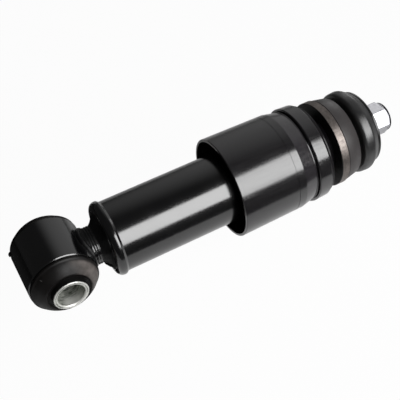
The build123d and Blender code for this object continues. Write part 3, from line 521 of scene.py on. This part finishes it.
tint = add_node(tree, "ShaderNodeMix", {"data_type": "RGBA", 7: srgb("#39353a")},
                [(0, scuffed.outputs[0]), (6, moulded.outputs[2])])
pores = add_node(tree, "ShaderNodeBump", {"Strength": 0.3, "Distance": 0.02 * MM},
                 [("Height", specks.outputs[0])])
ledge_start, ledge_full = 193.7 * MM, 194.0 * MM
for socket, satin_value, matt_value in (("Specular IOR Level", 0.75, 0.25), ("Coat Weight", 0.6, 0.0)):
    level = add_node(tree, "ShaderNodeMapRange", {
        "From Min": ledge_start, "From Max": ledge_full, "To Min": satin_value, "To Max": matt_value},
        [("Value", split.outputs["X"])])
    tree.links.new(level.outputs[0], shader.inputs[socket])
tree.links.new(tint.outputs[2], shader.inputs["Base Color"])
tree.links.new(dulling.outputs[0], shader.inputs["Roughness"])
tree.links.new(pores.outputs[0], shader.inputs["Normal"])
dress(plastic, "dust_cover", "cover_cap")
flash = turned("cover_flash", [
    (182.5, 33.4), (182.6, 33.78), (183.0, 33.78), (183.15, 33.3), (182.9, 33.0)], "X")
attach(flash, "rod")
flash.data.materials.append(plastic)

# Lower washer: a thick ring parted off steel bar, its rim left as it was turned, bare and a little
# browned by oil. Its face towards the cap is painted near black and not metal, as painted shade.
turned_steel, tree, shader, place = surface("turned_steel", {})
stain_size, streak_width = 2.6 * MM, 0.9 * MM
shaded_face_edge, rim_start = 205.15 * MM, 205.35 * MM
stretch = add_node(tree, "ShaderNodeMapping", {"Scale": (0.3, 1, 1)}, [("Vector", place)])
streaks = add_node(tree, "ShaderNodeTexNoise", {"Scale": 1 / streak_width, "Detail": 4.0},
                   [("Vector", stretch.outputs[0])])
stain = add_node(tree, "ShaderNodeTexNoise", {"Scale": 1 / stain_size, "Detail": 6.0, "Roughness": 0.65},
                 [("Vector", place)])
tint = add_node(tree, "ShaderNodeMix", {"data_type": "RGBA", 6: srgb("#443e3b"), 7: srgb("#a49c97")},
                [(0, stain.outputs[0])])
split = add_node(tree, "ShaderNodeSeparateXYZ", None, [(0, place)])
rim = add_node(tree, "ShaderNodeMapRange", {"From Min": shaded_face_edge, "From Max": rim_start},
               [("Value", split.outputs["X"])])
# The face towards the cap is painted near black as painted shade
faced = add_node(tree, "ShaderNodeMix", {"data_type": "RGBA", 6: srgb("#070707")},
                 [(0, rim.outputs[0]), (7, tint.outputs[2])])
dulling = add_node(tree, "ShaderNodeMapRange", {
    "From Min": 0.3, "From Max": 0.7, "To Min": 0.34, "To Max": 0.56}, [("Value", streaks.outputs[0])])
cut = add_node(tree, "ShaderNodeBump", {"Strength": 0.3, "Distance": 0.04 * MM},
               [("Height", streaks.outputs[0])])
tree.links.new(faced.outputs[2], shader.inputs["Base Color"])
tree.links.new(rim.outputs[0], shader.inputs["Metallic"])
tree.links.new(dulling.outputs[0], shader.inputs["Roughness"])
tree.links.new(cut.outputs[0], shader.inputs["Normal"])
dress(turned_steel, "lower_washer")

# Lower cushion: a tapered ring of grey rubber that the cab bracket sits on, with a spigot for the
# bracket's hole. It is moulded to shape, and its lower edge is drawn in a little over the washer.
seat, joint, clamp, inner = 222.4, 224.1, 225.8, 9.95
lower_cushion = turned("lower_cushion_rubber", [
    (211.0, inner), (211.0, 30.7), (211.7, 31.4), (216.0, 30.6), (221.9, 29.35), (seat, 28.9),
    (seat, 17.0), (joint, 17.0), (joint, inner)], "X", round_over=0.25)
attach(lower_cushion, "rod")
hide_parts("lower_cushion")
lower_cushion.data.materials.append(rubber_surface("grey_rubber", "#312f2f", "#423e3e", 12 * MM, 0.46, 0.5))

# Upper cushion: the black rubber ring above the bracket. Its foot is well rounded, its shoulder
# slopes up to the dished washer that presses on it.
upper_cushion = turned("upper_cushion_rubber", [
    (joint, inner), (joint, 17.0), (clamp, 17.0), (clamp, 27.6)]
    + arc((clamp, 27.6), (226.55, 29.75), (228.8, 30.65), 5)[1:]
    + [(232.4, 30.85)] + arc((232.4, 30.85), (233.7, 30.62), (234.8, 29.95), 4)[1:]
    + [(238.2, 27.9), (238.9, 27.3), (238.9, 20.0), (243.0, 13.0), (243.0, inner)], "X", round_over=0.2)
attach(upper_cushion, "rod")
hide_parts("upper_cushion")
upper_cushion.data.materials.append(rubber_surface("black_rubber", "#151516", "#222222", 10 * MM, 0.34, 1.0))

# Top washer: dished from sheet steel and painted black. The thin paint is a little glossier than the
# rubber that it presses on.
dress(surface("black_washer_paint", {
    "Base Color": srgb("#121212"), "Roughness": 0.3, "IOR": 1.5, "Specular IOR Level": 0.8})[0], "top_washer")

# Lock nut: cold forged, bright zinc plated, with a mottle from the bath. It is coloured darker
# along its six corners, and the rolled edge of the collar is darkened as painted shade.
zinc_nut, tree, shader, place = surface("zinc_plated_nut", {"Metallic": 1.0})
nut_mottle, corner_start, corner_full = 2.2 * MM, 11.8 * MM, 12.05 * MM
shade_rim_start, shade_rim_full, shade_rim_radius = 260.9 * MM, 261.2 * MM, 9.4 * MM
mottle = add_node(tree, "ShaderNodeTexNoise", {"Scale": 1 / nut_mottle, "Detail": 6.0}, [("Vector", place)])
tint = add_node(tree, "ShaderNodeMix", {"data_type": "RGBA", 6: srgb("#b6b6ba"), 7: srgb("#cbcbcf")},
                [(0, mottle.outputs[0])])
radius = off_axis(tree, place, (0, 1, 1))
corner = add_node(tree, "ShaderNodeMapRange", {
    "From Min": corner_start, "From Max": corner_full, "To Max": 0.6}, [("Value", radius)])
split = add_node(tree, "ShaderNodeSeparateXYZ", None, [(0, place)])
# The collar's rolled edge is darkened as painted shade
edge = add_node(tree, "ShaderNodeMapRange", {"From Min": shade_rim_start, "From Max": shade_rim_full},
                [("Value", split.outputs["X"])])
outer = add_node(tree, "ShaderNodeMath", {"operation": "GREATER_THAN", 1: shade_rim_radius},
                 [(0, radius)])
painted_shade_rim = add_node(tree, "ShaderNodeMath", {"operation": "MULTIPLY"},
                  [(0, edge.outputs[0]), (1, outer.outputs[0])])
corners_and_shade = add_node(tree, "ShaderNodeMath", {"operation": "MAXIMUM"},
                [(0, corner.outputs[0]), (1, painted_shade_rim.outputs[0])])
nut_darkened = add_node(tree, "ShaderNodeMix", {"data_type": "RGBA", 7: srgb("#2e2e34")},
                   [(0, corners_and_shade.outputs[0]), (6, tint.outputs[2])])
dulling = add_node(tree, "ShaderNodeMapRange", {
    "From Min": 0.3, "From Max": 0.7, "To Min": 0.36, "To Max": 0.5}, [("Value", mottle.outputs[0])])
tree.links.new(nut_darkened.outputs[2], shader.inputs["Base Color"])
tree.links.new(dulling.outputs[0], shader.inputs["Roughness"])
dress(zinc_nut, "lock_nut")

# Bump stop and oil seal: moulded rubber rings inside. The bump stop meets the closing ring on two
# rounded ribs, and the seal has a thick outer lip and a thin one that wipes the rod.
stop_inner, stop_start, stop_end = 8.05, 170.5, 177.1
bump_stop = turned("bump_stop_rubber", [
    (stop_end, stop_inner), (stop_start + 0.6, stop_inner), (stop_start, 9.4), (stop_start, 11.6),
    (stop_start + 0.9, 12.8), (stop_start + 0.9, 14.0), (stop_start, 15.2), (stop_start, 17.4),
    (stop_start + 0.6, 18.7), (173.0, 19.0), (173.8, 18.3), (174.6, 19.0), (stop_end, 19.0)],
    "X", round_over=0.15)
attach(bump_stop, "rod")
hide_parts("bump_stop")
seal_inner, seal_outer, seal_start, seal_end = 8.06, 22.96, 134.5, 139.5
oil_seal = turned("oil_seal_rubber", [
    (seal_start, seal_inner), (seal_start, seal_outer), (seal_end, seal_outer), (seal_end, 17.0),
    (137.0, 13.0), (137.0, 9.2), (138.5, 9.2), (138.5, seal_inner), (137.6, seal_inner), (137.2, 8.3),
    (136.8, seal_inner)], "X", round_over=0.08)
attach(oil_seal, "barrel")
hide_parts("oil_seal")
seal_rubber = rubber_surface("nitrile_rubber", "#141414", "#1e1e1e", 10 * MM, 0.5, 0.5)
for piece in (bump_stop, oil_seal):
    piece.data.materials.append(seal_rubber)


# The other pieces inside, which show when the damper is opened: a hard chromed rod, sintered and
# drawn steel, blued spring discs, a bronze bush, a band of filled PTFE and two nylon rings.
def plain_surface(name, low, high, metal, roughness, grain_size, grain_depth):
    """A material whose colour drifts between two tints, with its grain's size and depth in
    millimetres."""
    material, tree, shader, place = surface(name, {"Metallic": metal, "Roughness": roughness})
    grain = add_node(tree, "ShaderNodeTexNoise", {"Scale": 1 / (grain_size * MM), "Detail": 4.0},
                     [("Vector", place)])
    tint = add_node(tree, "ShaderNodeMix", {"data_type": "RGBA", 6: srgb(low), 7: srgb(high)},
                    [(0, grain.outputs[0])])
    bumps = add_node(tree, "ShaderNodeBump", {"Strength": 0.5, "Distance": grain_depth * MM},
                     [("Height", grain.outputs[0])])
    tree.links.new(tint.outputs[2], shader.inputs["Base Color"])
    tree.links.new(bumps.outputs[0], shader.inputs["Normal"])
    return material


dress(plain_surface("hard_chrome", "#c4c5c8", "#d2d3d6", 1.0, 0.1, 6.0, 0.001), "piston_rod")
dress(plain_surface("sintered_steel", "#4f4e4c", "#787674", 0.9, 0.5, 0.6, 0.04),
      "foot_valve_body", "rod_guide", "piston")
dress(plain_surface("blued_spring_steel", "#4c5160", "#737a88", 1.0, 0.25, 4.0, 0.003),
      "foot_intake_disc", "foot_blow_disc", "foot_intake_spring", "foot_valve_pin", "rebound_shims",
      "piston_check_disc", "piston_check_spring")
dress(plain_surface("drawn_steel", "#85868a", "#a3a4a6", 1.0, 0.3, 1.5, 0.006),
      "pressure_tube", "closing_ring", "valve_washer", "piston_nut", "stop_washer", "cover_plate",
      "spacer_sleeve")
dress(plain_surface("bearing_bronze", "#8f6c38", "#b18a4c", 1.0, 0.35, 0.8, 0.01), "guide_bush")
dress(plain_surface("filled_ptfe", "#27312b", "#35413a", 0.0, 0.45, 1.0, 0.01), "piston_band")
dress(plain_surface("natural_nylon", "#b3aa94", "#c4bba6", 0.0, 0.45, 3.0, 0.01), "rebound_stop")
dress(plain_surface("blue_nylon", "#2c4f8c", "#365c9c", 0.0, 0.4, 3.0, 0.01), "nut_insert")
